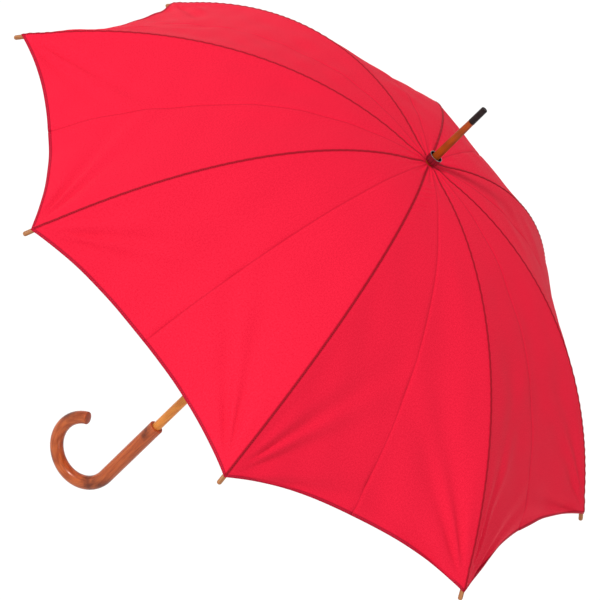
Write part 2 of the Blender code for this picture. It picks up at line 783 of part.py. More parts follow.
def make_strap(parts, cloth, metal):
    """Tie strap lying on the cloth along one rib's seam, with its snap button."""
    clear = CLOTH_LIFT + CLOTH_THICKNESS + 2 * GAP
    mesh = bpy.data.meshes.new("tie_strap")
    bm = bmesh.new()
    rows = 8
    grid = []
    for row in range(rows + 1):
        along = STRAP_START + STRAP_LENGTH * row / rows
        sides = (-STRAP_WIDTH / 2, STRAP_WIDTH / 2)
        grid.append([bm.verts.new(rib_place(along, clear, side)) for side in sides])
    for upper, lower in zip(grid, grid[1:]):
        bm.faces.new((upper[0], lower[0], lower[1], upper[1]))
    bm.normal_update()
    bm.to_mesh(mesh)
    bm.free()
    strap = new_object("tie_strap", mesh, parts, cloth)
    strap.rotation_euler = (0, 0, turn_about_stick(STRAP_RIB))
    shell = strap.modifiers.new("webbing", "SOLIDIFY")
    shell.thickness = STRAP_THICKNESS
    shell.offset = 1.0
    place = STRAP_START + STRAP_LENGTH - 2 * BUTTON_RADIUS
    rise = clear + STRAP_THICKNESS + GAP
    button = [
        (0, BUTTON_HEIGHT),
        (BUTTON_RADIUS * 0.5, BUTTON_HEIGHT * 0.92),
        (BUTTON_RADIUS * 0.85, BUTTON_HEIGHT * 0.6),
        (BUTTON_RADIUS, BUTTON_HEIGHT * 0.25),
        (BUTTON_RADIUS, 0),
        (0, 0),
    ]
    snap = turned("strap_button", button, parts, metal)
    turn = Matrix.Rotation(turn_about_stick(STRAP_RIB), 4, "Z")
    snap.location = turn @ rib_place(place, rise)
    snap.rotation_euler = (0, rib_slope(place), turn_about_stick(STRAP_RIB))


# ---------------------------------------------------------------- assembly


def main():
    clear_scene()
    parts = make_collection("stick_umbrella")
    cutters = make_collection("cutters")
    light_wood = material("light_wood", (0.72, 0.38, 0.12), 0.32)
    dark_wood = material("handle_wood", (0.42, 0.15, 0.055), 0.35)
    spike_wood = material("spike_wood", (0.42, 0.12, 0.02), 0.30)
    tip_wood = material("tip_wood", (0.42, 0.20, 0.08), 0.45)
    red_cloth = material("red_cloth", (0.78, 0.01, 0.05), 0.75)
    washer_cloth = material("washer_cloth", (0.55, 0.01, 0.03), 0.80)
    strap_cloth = material("strap_cloth", (0.70, 0.01, 0.05), 0.75)
    chrome = material("chrome", (0.80, 0.80, 0.82), 0.12, 1.0)
    dark_metal = material("dark_metal", (0.06, 0.03, 0.03), 0.25, 1.0)
    plated = material("plated_steel", (0.62, 0.62, 0.64), 0.30, 1.0)
    black_steel = material("black_steel", (0.03, 0.03, 0.03), 0.35, 1.0)
    spring_steel = material("spring_steel", (0.50, 0.50, 0.52), 0.25, 1.0)

    make_stick(parts, cutters, light_wood)
    make_handle(parts, cutters, dark_wood)
    make_spike(parts, spike_wood, dark_metal)
    make_notch(parts, cutters, plated, spring_steel)
    make_runner(parts, cutters, plated, spring_steel)
    make_catch("top_spring", TOP_CATCH_Z, 1, parts, spring_steel)
    make_catch("bottom_spring", BOTTOM_CATCH_Z, -1, parts, spring_steel)
    make_inner_ribs(parts, cutters, black_steel)
    make_outer_ribs(parts, cutters, black_steel)
    make_tips(parts, tip_wood)
    make_stretchers(parts, cutters, black_steel)
    make_crown(parts, washer_cloth, chrome)
    make_gores(parts, red_cloth)
    make_strap(parts, strap_cloth, chrome)


main()
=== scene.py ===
"""Looks of the stick umbrella: sewn red canopy, bent wooden crook, stick, spike and frame.

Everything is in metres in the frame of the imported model: +Z up along the stick, the crook
bends towards +X, and the origin is the middle of the straight grip.
"""

import json
import math
import random

import bpy
import numpy as np
from mathutils import Matrix, Vector


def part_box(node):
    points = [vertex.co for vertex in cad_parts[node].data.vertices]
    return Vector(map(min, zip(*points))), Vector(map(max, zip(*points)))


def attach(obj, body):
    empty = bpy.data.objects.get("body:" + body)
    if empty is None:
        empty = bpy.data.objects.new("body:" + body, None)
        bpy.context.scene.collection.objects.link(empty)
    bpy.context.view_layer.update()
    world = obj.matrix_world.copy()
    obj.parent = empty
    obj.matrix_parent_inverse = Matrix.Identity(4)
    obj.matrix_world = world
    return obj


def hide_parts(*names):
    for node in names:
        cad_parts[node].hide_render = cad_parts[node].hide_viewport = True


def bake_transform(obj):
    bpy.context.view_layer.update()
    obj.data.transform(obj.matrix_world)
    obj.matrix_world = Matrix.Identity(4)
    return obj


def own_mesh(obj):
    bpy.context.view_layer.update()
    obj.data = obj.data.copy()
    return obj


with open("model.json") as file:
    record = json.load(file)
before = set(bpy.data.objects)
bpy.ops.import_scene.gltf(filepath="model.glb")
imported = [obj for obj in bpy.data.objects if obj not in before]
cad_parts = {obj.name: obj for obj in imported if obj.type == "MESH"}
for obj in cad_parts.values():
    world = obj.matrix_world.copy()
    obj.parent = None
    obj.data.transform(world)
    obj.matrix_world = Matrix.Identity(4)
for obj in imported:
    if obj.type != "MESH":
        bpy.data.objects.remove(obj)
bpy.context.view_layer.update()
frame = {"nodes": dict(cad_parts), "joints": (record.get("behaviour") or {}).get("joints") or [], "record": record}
JOINTS = {joint["name"]: joint for joint in frame["joints"]}

# Frame places
RIBS = 8
STEP = math.tau / RIBS
HALF = STEP / 2
HINGE = Vector(JOINTS["canopy_fold"]["pos_m"])
HINGE_RADIUS = math.hypot(HINGE.x, HINGE.y)
NOTCH_Z = HINGE.z

# The ribs' curve: its slope below level, in radians, over the share of the rib's length
RIB_LENGTH = 0.585
SLOPE_START = -0.100
SLOPE_GAIN = 1.397
SLOPE_EASE = -0.375
ELBOW_AT = 0.272
TIP_LENGTH = 0.022
TIP_SOCKET = 0.012
TIP_RADIUS = 0.0031

# Canopy
CLOTH_LIFT = 0.0029
CROWN_RISE = 0.0020
CROWN_REACH = 0.030
TIP_RISE = 0.0012
CLOTH_START = -0.0033
CLOTH_CORNER = 0.5735
HEM_MIDDLE = 0.547
HEM_POWER = 2.6
GORE_DIP = 0.0165
GORE_DIP_POWER = 2.5
CLOTH_THICKNESS = 0.0004
CLOTH_INSIDE = 0.0001
# Each gore is cut across into these lengths of rib, from and to, and what of its width is
# left when the canopy folds
LENGTHS = {
    "collar": (0.0, 0.070, 0.52),
    "crown": (0.070, ELBOW_AT, 0.30),
    "hem": (ELBOW_AT, CLOTH_CORNER, 0.13),
}

# How far the sewn cloth departs from its smooth shape, and over what reach
CREASE_DEPTH = 0.0010
CREASE_REACH = 0.0020
SEAM_PULL = 0.0010
SEAM_PULL_REACH = 0.005
PUCKER_HEIGHT = 0.00030
PUCKER_LENGTH = 0.013
PUCKER_REACH = 0.010
FAN_HEIGHT = 0.0042
FAN_REACH = 0.11
SAG_HEIGHT = 0.0022
GATHER_HEIGHT = 0.0007
GATHER_REACH = 0.08
SLACK_GORE = 3
SLACK_HEIGHT = 0.0011
SLACK_LENGTH = 0.011
SLACK_AT = 0.085
SLACK_FROM_SEAM = 0.014
SEAM_HALF_WIDTH = 0.0013

# Handle, stick and spike
GRIP_LENGTH = 0.120
GRIP_RADIUS = 0.0105
CROOK_RADIUS = 0.048
CROOK_TURN = math.radians(230)
CROOK_END_RADIUS = 0.0092
SOCKET_DEPTH = 0.045
RIM_Z = GRIP_LENGTH / 2
STICK_RADIUS = 0.0065
STICK_GAP = 0.0003
FLANGE_HALF = 0.0030
PEG_RADIUS = 0.003
PEG_LENGTH = 0.020
SPIKE_TIP_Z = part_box("ferrule_cap")[1][2]
SPIKE_BASE_RADIUS = 0.0056
SPIKE_TIP_RADIUS = 0.0044
FERRULE_LENGTH = 0.027


# ---------------------------------------------------------------- the ribs' curve


def walk_rib():
    """Fine steps along the rib's axis: distance, radius from the stick, height, slope."""
    along = np.linspace(-0.01, RIB_LENGTH, 1200)
    share = along / RIB_LENGTH
    slope = SLOPE_START + SLOPE_GAIN * share + SLOPE_EASE * share**2
    step = along[1] - along[0]
    middle = (slope[1:] + slope[:-1]) / 2
    out = np.concatenate([[0.0], np.cumsum(np.cos(middle) * step)])
    down = np.concatenate([[0.0], np.cumsum(np.sin(middle) * step)])
    out -= np.interp(0.0, along, out)
    down -= np.interp(0.0, along, down)
    return along, HINGE_RADIUS + out, NOTCH_Z - down, slope


WALK = walk_rib()


def rib_radius(along):
    return np.interp(along, WALK[0], WALK[1])


def rib_height(along):
    return np.interp(along, WALK[0], WALK[2])


def rib_slope(along):
    return np.interp(along, WALK[0], WALK[3])


def rib_angle(index):
    return HALF + (index - 1) * STEP


def rib_place(along, lift=0.0, side=0.0):
    """A point over the rib that lies along +X."""
    slope = rib_slope(along)
    x = rib_radius(along) + lift * np.sin(slope)
    z = rib_height(along) + lift * np.cos(slope)
    return Vector((float(x), side, float(z)))


# ---------------------------------------------------------------- cloth shape


def ease(share):
    share = np.clip(share, 0.0, 1.0)
    return share * share * (3 - 2 * share)


def cloth_lift(along):
    crown = CROWN_RISE * (1 - ease(along / CROWN_REACH))
    tip = TIP_RISE * ease((along - RIB_LENGTH + 2 * TIP_LENGTH) / TIP_LENGTH)
    return CLOTH_LIFT + crown + tip


def hem_at(across):
    return HEM_MIDDLE + (CLOTH_CORNER - HEM_MIDDLE) * np.abs(across) ** HEM_POWER


def half_width(along):
    """Half a gore's width, in the plane of its two ribs."""
    return rib_radius(along) * math.sin(HALF)


def wave_set(seed, count, shortest, longest):
    """A few waves with their own lengths, directions and starts."""
    draw = random.Random(seed)
    waves = []
    for _ in range(count):
        length = shortest * (longest / shortest) ** draw.random()
        turn = draw.uniform(0, math.tau)
        start = draw.uniform(0, math.tau)
        waves.append((math.tau / length, math.cos(turn), math.sin(turn), start))
    return waves


def soft_waves(waves, u, v):
    total = np.zeros_like(u)
    for pace, cu, cv, start in waves:
        total += np.sin(pace * (u * cu + v * cv) + start)
    return total / len(waves)


def gore_relief(gore, along, across):
    """Creases, puckers and soft waves of a sewn gore, as a height over its smooth shape."""
    side = across * half_width(along)
    to_seam = half_width(along) - np.abs(side)
    rib = np.where(across < 0, gore, gore % RIBS + 1)
    middle = -CREASE_DEPTH * np.exp(-((side / CREASE_REACH) ** 2)) * ease(along / 0.16)
    pull = -SEAM_PULL * np.exp(-to_seam / SEAM_PULL_REACH)
    pucker = np.sin(math.tau * along / PUCKER_LENGTH + rib + 2.2 * np.sin(along * 31 + rib))
    pucker = PUCKER_HEIGHT * pucker * np.exp(-to_seam / PUCKER_REACH) * ease(along / 0.05)
    back = CLOTH_CORNER - along
    reach = np.hypot(back, to_seam)
    bearing = np.arctan2(to_seam, np.maximum(back, 1e-6))
    fan = np.sin(bearing * 15 + rib * 1.7 + 1.5 * np.sin(bearing * 7 + gore))
    fan = fan * np.exp(-reach / FAN_REACH)
    fan = FAN_HEIGHT * fan * ease((reach - 0.01) / 0.06) * ease(to_seam / 0.02)
    sag = soft_waves(wave_set(gore * 7 + 1, 5, 0.05, 0.16), side, along)
    sag = SAG_HEIGHT * sag * ease(to_seam / 0.05) * ease(along / 0.10)
    gather = np.cos(side / np.maximum(half_width(along), 1e-6) * math.pi * 3)
    gather = GATHER_HEIGHT * gather * (1 - ease(along / GATHER_REACH))
    gather = gather * ease((along + 0.002) / 0.012)
    slack = 0.0
    if gore == SLACK_GORE:
        near = ((along - SLACK_AT) / 0.040) ** 2 + ((to_seam - SLACK_FROM_SEAM) / 0.010) ** 2
        slack = np.sin(math.tau * (along + 0.5 * side) / SLACK_LENGTH) * np.exp(-near)
        slack = SLACK_HEIGHT * slack * (across < 0)
    return middle + pull + pucker + fan + sag + gather + slack


def gore_points(gore, along, across, lift):
    """Points of gore number gore."""
    slope = rib_slope(along)
    azimuth = across * HALF
    dip = GORE_DIP * np.maximum(along / RIB_LENGTH, 0) ** GORE_DIP_POWER * (1 - across**2)
    raised = cloth_lift(along) - dip + lift + gore_relief(gore, along, across)
    out = raised * np.sin(slope)
    x = rib_radius(along) * math.cos(HALF) + out * np.cos(azimuth)
    y = across * half_width(along) + out * np.sin(azimuth)
    z = rib_height(along) + raised * np.cos(slope)
    turn = rib_angle(gore) + HALF
    flat_x = x * math.cos(turn) - y * math.sin(turn)
    flat_y = x * math.sin(turn) + y * math.cos(turn)
    return np.stack([flat_x, flat_y, z], -1)


def sheet_mesh(name, outer, inner, uv, marks=None):
    """A closed thin sheet from two grids of points; uv holds the cloth's own metres."""
    rows, columns = outer.shape[:2]
    points = np.concatenate([outer.reshape(-1, 3), inner.reshape(-1, 3)])
    count = rows * columns

    def at(row, column, layer):
        return layer * count + row * columns + column

    faces = []
    for row in range(rows - 1):
        for column in range(columns - 1):
            a, b = at(row, column, 0), at(row + 1, column, 0)
            c, d = at(row + 1, column + 1, 0), at(row, column + 1, 0)
            faces.append((a, b, c, d))
            faces.append((a + count, d + count, c + count, b + count))
    edge = [(0, column) for column in range(columns)]
    edge += [(row, columns - 1) for row in range(1, rows)]
    edge += [(rows - 1, column) for column in range(columns - 2, -1, -1)]
    edge += [(row, 0) for row in range(rows - 2, 0, -1)]
    for first, second in zip(edge, edge[1:] + edge[:1]):
        a, b = at(*first, 0), at(*second, 0)
        faces.append((a, b, b + count, a + count))
    mesh = bpy.data.meshes.new(name)
    mesh.from_pydata([tuple(point) for point in points], [], faces)
    layer = mesh.uv_layers.new(name="UVMap")
    flat = np.concatenate([uv.reshape(-1, 2)] * 2)
    index = np.zeros(len(mesh.loops), np.int32)
    mesh.loops.foreach_get("vertex_index", index)
    layer.data.foreach_set("uv", flat[index].astype(np.float32).ravel())
    for mark, values in (marks or {}).items():
        attribute = mesh.attributes.new(mark, "FLOAT", "POINT")
        attribute.data.foreach_set("value", np.tile(values.ravel(), 2).astype(np.float32))
    mesh.shade_smooth()
    mesh.set_sharp_from_angle(angle=math.radians(50))
    return mesh


def link(name, mesh, finish):
    piece = bpy.data.objects.new(name, mesh)
    bpy.context.scene.collection.objects.link(piece)
    mesh.materials.append(finish)
    return piece


# ---------------------------------------------------------------- folding


def fold_axis(rib, start, end, side):
    """Direction that a half gore flattens along: from the rib to the gore's middle line,
    square to the stretch of rib between start and end."""
    run = (rib_place(end) - rib_place(start)).normalized()
    to_middle = Vector((-math.sin(HALF), side * math.cos(HALF), 0))
    across = (to_middle - to_middle.dot(run) * run).normalized()
    turn = Matrix.Rotation(rib_angle(rib), 3, "Z")
    bulge = rib_place((start + end) / 2) - (rib_place(start) + rib_place(end)) / 2
    anchor = (rib_place(start) + rib_place(end)) / 2 + bulge / 2
    anchor += Vector((0, 0, CLOTH_LIFT))
    return turn @ across, turn @ anchor


def fold_with_rib(piece, rib, side, part):
    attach(piece, f"rib_end_{rib}" if part == "hem" else f"rib_{rib}")
    start, end, keep = LENGTHS[part]
    axis, anchor = fold_axis(rib, start, end, side)
    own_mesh(piece)


# ---------------------------------------------------------------- canopy pieces


def half_gore(gore, half, part, finish):
    """Half a gore, from its seam to its middle line, over one length of the ribs."""
    start, end, _ = LENGTHS[part]
    top = CLOTH_START if part == "collar" else start
    columns, rows = {"collar": (25, 33), "crown": (33, 57), "hem": (49, 81)}[part]
    share = np.linspace(0, 1, columns)
    across = -1 + share if half == "first" else share
    across, down = np.meshgrid(across, np.linspace(0, 1, rows))
    bottom = hem_at(across) if part == "hem" else end
    along = top + (bottom - top) * down
    outer = gore_points(gore, along, across, CLOTH_INSIDE + CLOTH_THICKNESS)
    inner = gore_points(gore, along, across, CLOTH_INSIDE)
    uv = np.stack([across * half_width(along), along], -1)
    marks = {
        "to_seam": half_width(along) * (1 - np.abs(across)),
        "to_hem": hem_at(across) - along,
        "to_crease": half_width(along) * np.abs(across),
    }
    name = f"gore_{gore}_{half}_{part}"
    piece = link(name, sheet_mesh(name, outer, inner, uv, marks), finish)
    width = float(half_width(HEM_MIDDLE if part == "hem" else end))
    length = float(end - top)
    cells = np.diff(uv[:, :, 0], axis=1)[:-1] * np.diff(uv[:, :, 1], axis=0)[:, :-1]
    return piece, (width, length), float(np.abs(cells).sum())


def hem_roll(gore, half, finish):
    """The turned and stitched edge of half a gore: a flat loop of cloth round its hem."""
    count = 49
    share = np.linspace(0, 1, count)
    across = -1 + share if half == "first" else share
    edge_along = hem_at(across)
    step = 0.001
    outline = (
        (-0.0036, 0.00000),
        (-0.0034, 0.00040),
        (-0.0022, 0.00052),
        (-0.0008, 0.00056),
        (0.0002, 0.00044),
        (0.0007, 0.00000),
        (0.0002, -0.00044),
        (-0.0008, -0.00056),
        (-0.0022, -0.00050),
        (-0.0034, -0.00040),
    )
    edge = gore_points(gore, edge_along, across, CLOTH_INSIDE + CLOTH_THICKNESS / 2)
    back = gore_points(gore, edge_along - step, across, CLOTH_INSIDE + CLOTH_THICKNESS / 2)
    down = edge - back
    down /= np.linalg.norm(down, axis=1, keepdims=True)
    run = np.gradient(edge, axis=0)
    run /= np.linalg.norm(run, axis=1, keepdims=True)
    out = np.cross(down, run)
    out /= np.linalg.norm(out, axis=1, keepdims=True)
    rings = [edge + down * d + out * h for d, h in outline]
    points = np.stack(rings, 1)
    sides = len(outline)
    faces = []
    for row in range(count - 1):
        for side in range(sides):
            a, b = row * sides + side, row * sides + (side + 1) % sides
            faces.append((a, b, b + sides, a + sides))
    faces.append(tuple(range(sides - 1, -1, -1)))
    faces.append(tuple((count - 1) * sides + side for side in range(sides)))
    name = f"hem_{gore}_{half}"
    mesh = bpy.data.meshes.new(name)
    mesh.from_pydata([tuple(p) for p in points.reshape(-1, 3)], [], faces)
    layer = mesh.uv_layers.new(name="UVMap")
    run_length = np.concatenate([[0], np.cumsum(np.linalg.norm(np.diff(edge, axis=0), axis=1))])
    for polygon in mesh.polygons:
        for loop in polygon.loop_indices:
            row, side = divmod(mesh.loops[loop].vertex_index, sides)
            layer.data[loop].uv = (outline[side][0], run_length[row])
    mesh.shade_smooth()
    piece = link(name, mesh, finish)
    return piece


def make_canopy(cloth, hem_cloth):
    for gore in range(1, RIBS + 1):
        for half, side in (("first", 1), ("second", -1)):
            rib = gore if half == "first" else gore % RIBS + 1
            hem = hem_roll(gore, half, hem_cloth)
            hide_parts(f"canopy_gore_{gore}")
            fold_with_rib(hem, rib, side, "hem")
            for part in LENGTHS:
                piece, flat, cut = half_gore(gore, half, part, cloth)
                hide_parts(f"canopy_gore_{gore}")
                fold_with_rib(piece, rib, side, part)


def make_welts(finish):
    """The folded seam allowance that runs down every rib, with its row of stitches."""
    offsets = np.array([-1.0, -0.8, -0.45, -0.12, 0.12, 0.45, 0.8, 1.0]) * SEAM_HALF_WIDTH
    heights = np.array([0.0001, 0.0005, 0.0008, 0.0009, 0.0009, 0.0008, 0.0005, 0.0001])
    down = np.linspace(0.004, CLOTH_CORNER - 0.002, 241)
    for rib in range(1, RIBS + 1):
        outer, inner = [], []
        for offset, height in zip(offsets, heights):
            share = np.minimum(np.abs(offset) / np.maximum(half_width(down), 0.004), 0.9)
            gore = rib if offset > 0 else (rib - 2) % RIBS + 1
            across = -1 + share if offset > 0 else 1 - share
            base = CLOTH_INSIDE + CLOTH_THICKNESS
            outer.append(gore_points(gore, down, across, base + height))
            inner.append(gore_points(gore, down, across, base - 0.0002))
        outer, inner = np.stack(outer, 1), np.stack(inner, 1)
        side, length = np.meshgrid(offsets, down)
        uv = np.stack([side, length], -1)
        name = f"seam_{rib}"
        piece = link(name, sheet_mesh(name, outer, inner, uv), finish)
        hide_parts(f"canopy_gore_{rib}")
        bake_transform(piece)


# ---------------------------------------------------------------- modelling by hand


def start_edit(piece):
    bpy.ops.object.select_all(action="DESELECT")
    bpy.context.view_layer.objects.active = piece
    piece.select_set(True)
    bpy.ops.object.mode_set(mode="EDIT")
    bpy.ops.mesh.select_all(action="SELECT")


def end_edit(angle=35):
    bpy.ops.mesh.select_all(action="SELECT")
    bpy.ops.mesh.remove_doubles(threshold=0.000001)
    bpy.ops.mesh.normals_make_consistent(inside=False)
    bpy.ops.object.mode_set(mode="OBJECT")
    bpy.ops.object.shade_smooth_by_angle(angle=math.radians(angle))


def apply_place(piece):
    bpy.ops.object.select_all(action="DESELECT")
    bpy.context.view_layer.objects.active = piece
    piece.select_set(True)
    bpy.ops.object.transform_apply(location=True, rotation=True, scale=True)


def add_ring(name, radius, z, sides, filled=True):
    bpy.ops.object.select_all(action="DESELECT")
    fill = "NGON" if filled else "NOTHING"
    bpy.ops.mesh.primitive_circle_add(
        vertices=sides, radius=radius, location=(0, 0, 0), fill_type=fill
    )
    piece = bpy.context.object
    piece.name = piece.data.name = name
    start_edit(piece)
    if z:
        bpy.ops.transform.translate(value=(0, 0, z))
    return piece


def pull_ring(move, scale=1.0, center=(0, 0, 0)):
    """Extrudes what is selected by move, then sizes it about center."""
    bpy.ops.mesh.extrude_region_move(TRANSFORM_OT_translate={"value": tuple(move)})
    if abs(scale - 1) > 1e-9:
        bpy.ops.transform.resize(value=(scale, scale, scale), center_override=tuple(center))


def turned(name, profile, finish, sides=64, closed=False, angle=35):
    """A turned piece: a ring of the first radius, pulled up or down the profile."""
    piece = add_ring(name, profile[0][0], profile[0][1], sides, filled=not closed)
    points = list(profile[1:]) + ([profile[0]] if closed else [])
    radius, height = profile[0]
    for next_radius, next_height in points:
        scale = next_radius / radius
        pull_ring((0, 0, next_height - height), scale, (0, 0, next_height))
        radius, height = next_radius, next_height
    end_edit(angle)
    piece.data.materials.clear()
    piece.data.materials.append(finish)
    return piece


def rounded(radius, height, size, steps):
    """A quarter round edge from the side to the end of a turned piece, as profile points."""
    points = []
    for step in range(1, steps + 1):
        turn = math.pi / 2 * step / steps
        inward = size * (1 - math.cos(turn))
        points.append((radius - inward, height + size * math.sin(turn)))
    return points


# ---------------------------------------------------------------- handle

RIM_ROUND = 0.0011
CROOK_END_ROUND = 0.0012
CROOK_STEPS = 72


def bend_back(points):
    """Where each point of the bent handle would be if the handle were straight."""
    points = np.array(points)
    straight = points.copy()
    below = points[:, 2] < -GRIP_LENGTH / 2
    past = points[:, 0] > CROOK_RADIUS
    bent = below | past
    x = CROOK_RADIUS - points[:, 0]
    z = -GRIP_LENGTH / 2 - points[:, 2]
    turn = np.arctan2(z, x) % math.tau
    reach = np.hypot(x, z)
    straight[bent, 0] = (CROOK_RADIUS - reach)[bent]
    straight[bent, 2] = (-GRIP_LENGTH / 2 - CROOK_RADIUS * turn)[bent]
    return straight


def make_handle(finish):
    bore = STICK_RADIUS + STICK_GAP
    piece = add_ring("crook", bore, RIM_Z - SOCKET_DEPTH, 64)
    radius, height = bore, RIM_Z - SOCKET_DEPTH
    rim = [(bore, RIM_Z - 0.0004), (bore + 0.0004, RIM_Z), (GRIP_RADIUS - RIM_ROUND, RIM_Z)]
    for step in range(1, 7):
        turn = math.pi / 2 * step / 6
        inward = RIM_ROUND * (1 - math.sin(turn))
        rim.append((GRIP_RADIUS - inward, RIM_Z - RIM_ROUND * (1 - math.cos(turn))))
    lengths = np.linspace(0.01, GRIP_LENGTH, 12)
    rim += [(GRIP_RADIUS, RIM_Z - length) for length in lengths]
    for next_radius, next_height in rim:
        pull_ring((0, 0, next_height - height), next_radius / radius, (0, 0, next_height))
        radius, height = next_radius, next_height
    turn_step = CROOK_TURN / CROOK_STEPS
    center = (CROOK_RADIUS, 0, -GRIP_LENGTH / 2)
    for step in range(1, CROOK_STEPS + 1):
        bpy.ops.mesh.extrude_region_move(TRANSFORM_OT_translate={"value": (0, 0, 0)})
        bpy.ops.transform.rotate(value=turn_step, orient_axis="Y", center_override=center)
        next_radius = GRIP_RADIUS + (CROOK_END_RADIUS - GRIP_RADIUS) * step / CROOK_STEPS
        middle = crook_middle(turn_step * step)
        bpy.ops.transform.resize(value=(next_radius / radius,) * 3, center_override=tuple(middle))
        radius = next_radius
    tail = Vector((math.sin(CROOK_TURN), 0, -math.cos(CROOK_TURN)))
    middle = crook_middle(CROOK_TURN)
    for step in range(1, 6):
        turn = math.pi / 2 * step / 5
        rise = CROOK_END_ROUND * math.sin(turn)
        next_radius = CROOK_END_RADIUS - CROOK_END_ROUND * (1 - math.cos(turn))
        previous = CROOK_END_ROUND * math.sin(math.pi / 2 * (step - 1) / 5)
        at = middle + tail * rise
        pull_ring(tail * (rise - previous), next_radius / radius, at)
        radius = next_radius
    for share, sink in ((0.6, 0.00035), (0.25, 0.00010)):
        at = at + tail * sink
        pull_ring(tail * sink, share * CROOK_END_RADIUS / radius, at)
        radius = share * CROOK_END_RADIUS
    end_edit()
    piece.data.materials.clear()
    piece.data.materials.append(finish)
    mark_wood(piece, bend_back)
    mark_scorch(piece)
    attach(piece, "stick")
    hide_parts("handle")


def crook_middle(turn):
    """Centre of the handle's section after the crook has bent by turn."""
    down = GRIP_LENGTH / 2 + CROOK_RADIUS * math.sin(turn)
    return Vector((CROOK_RADIUS * (1 - math.cos(turn)), 0, -down))


def vertex_places(piece):
    points = np.zeros(len(piece.data.vertices) * 3, np.float32)
    piece.data.vertices.foreach_get("co", points)
    return points.reshape(-1, 3)


def mark_wood(piece, straighten=lambda points: points):
    """Stores the place of each point in the straight blank, which the grain follows."""
    straight = straighten(vertex_places(piece))
    attribute = piece.data.attributes.new("blank", "FLOAT_VECTOR", "POINT")
    attribute.data.foreach_set("vector", straight.astype(np.float32).ravel())


SCORCHES = (
    # length from the rim, turn round the grip, reach along, strength
    (0.010, 0.9, 0.010, 1.0),
    (0.024, 1.6, 0.006, 0.9),
    (0.128, 2.9, 0.018, 0.9),
    (0.150, 1.7, 0.010, 0.5),
    (0.222, 3.0, 0.017, 0.8),
    (0.285, 3.0, 0.014, 1.0),
    (0.308, 2.2, 0.010, 0.7),
    (0.070, -1.6, 0.020, 0.7),
    (0.150, -0.9, 0.020, 0.8),
    (0.205, -2.0, 0.016, 0.6),
    (0.280, -1.1, 0.016, 0.8),
)


def mark_scorch(piece):
    """Stores where the flame has darkened the crook, from 0 to 1."""
    straight = bend_back(vertex_places(piece))
    length = RIM_Z - straight[:, 2]
    around = np.arctan2(straight[:, 1], straight[:, 0])
    total = np.zeros(len(straight))
    for at, turn, reach, strength in SCORCHES:
        apart = (around - turn + math.pi) % math.tau - math.pi
        gap = np.hypot(length - at, 0.8 * GRIP_RADIUS * apart)
        total += strength * np.exp(-((gap / reach) ** 2))
    attribute = piece.data.attributes.new("scorch", "FLOAT", "POINT")
    attribute.data.foreach_set("value", np.clip(total, 0, 1).astype(np.float32))


# ---------------------------------------------------------------- stick, spike and crown


def make_stick(finish):
    bottom = RIM_Z - SOCKET_DEPTH + STICK_GAP
    top = NOTCH_Z + FLANGE_HALF
    chamfer = 0.0005
    profile = [
        (STICK_RADIUS - chamfer, bottom),
        (STICK_RADIUS, bottom + chamfer),
        (STICK_RADIUS, top - chamfer),
        (STICK_RADIUS - chamfer, top),
        (PEG_RADIUS, top),
        (PEG_RADIUS, top + PEG_LENGTH - chamfer),
        (PEG_RADIUS - chamfer, top + PEG_LENGTH),
    ]
    piece = turned("stick_wood", profile, finish, sides=64)
    for catch in ("top_spring", "bottom_spring"):
        low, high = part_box(catch)
        room = (0.0003, 0.0016, 0.0014)
        size = [high[axis] - low[axis] + 2 * room[axis] for axis in range(3)]
        middle = [(high[axis] + low[axis]) / 2 for axis in range(3)]
        bpy.ops.object.select_all(action="DESELECT")
        bpy.ops.mesh.primitive_cube_add(size=1, location=middle, scale=size)
        cutter = bpy.context.object
        bpy.ops.object.select_all(action="DESELECT")
        bpy.context.view_layer.objects.active = piece
        piece.select_set(True)
        cut = piece.modifiers.new("slot", "BOOLEAN")
        cut.object = cutter
        cut.solver = "EXACT"
        bpy.ops.object.modifier_apply(modifier=cut.name)
        bpy.data.objects.remove(cutter, do_unlink=True)
    bpy.ops.object.shade_smooth_by_angle(angle=math.radians(35))
    mark_wood(piece)
    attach(piece, "stick")
    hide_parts("shaft")


def make_spike(wood, metal):
    base = NOTCH_Z + FLANGE_HALF + STICK_GAP
    shoulder = SPIKE_TIP_Z - FERRULE_LENGTH
    profile = [(SPIKE_BASE_RADIUS - 0.0004, base), (SPIKE_BASE_RADIUS, base + 0.0004)]
    for step in range(1, 13):
        share = step / 12
        swell = 0.00018 * math.sin(math.pi * share)
        radius = SPIKE_BASE_RADIUS + (SPIKE_TIP_RADIUS - SPIKE_BASE_RADIUS) * share + swell
        profile.append((radius, base + (shoulder - base) * share))
    core = SPIKE_TIP_RADIUS - 0.0008
    profile += [(core, shoulder), (core, SPIKE_TIP_Z - 0.0018)]
    piece = turned("spike_wood", profile, wood, sides=48)
    mark_wood(piece)
    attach(piece, "stick")
    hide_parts("spike")
    outer = SPIKE_TIP_RADIUS + 0.0002
    inner = SPIKE_TIP_RADIUS - 0.0003
    cap = [(inner, shoulder + STICK_GAP), (outer - 0.0001, shoulder + STICK_GAP)]
    cap += [(outer + 0.0001, shoulder + 0.0007), (outer + 0.0001, shoulder + 0.0016)]
    cap += [(outer, shoulder + 0.0020), (outer - 0.00015, SPIKE_TIP_Z - 0.0016)]
    cap += rounded(outer - 0.00015, SPIKE_TIP_Z - 0.0013, 0.0013, 6)
    cap += [(0.0016, SPIKE_TIP_Z), (0.0008, SPIKE_TIP_Z)]
    piece = turned("ferrule", cap, metal, sides=48)
    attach(piece, "stick")
    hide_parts("ferrule_cap")


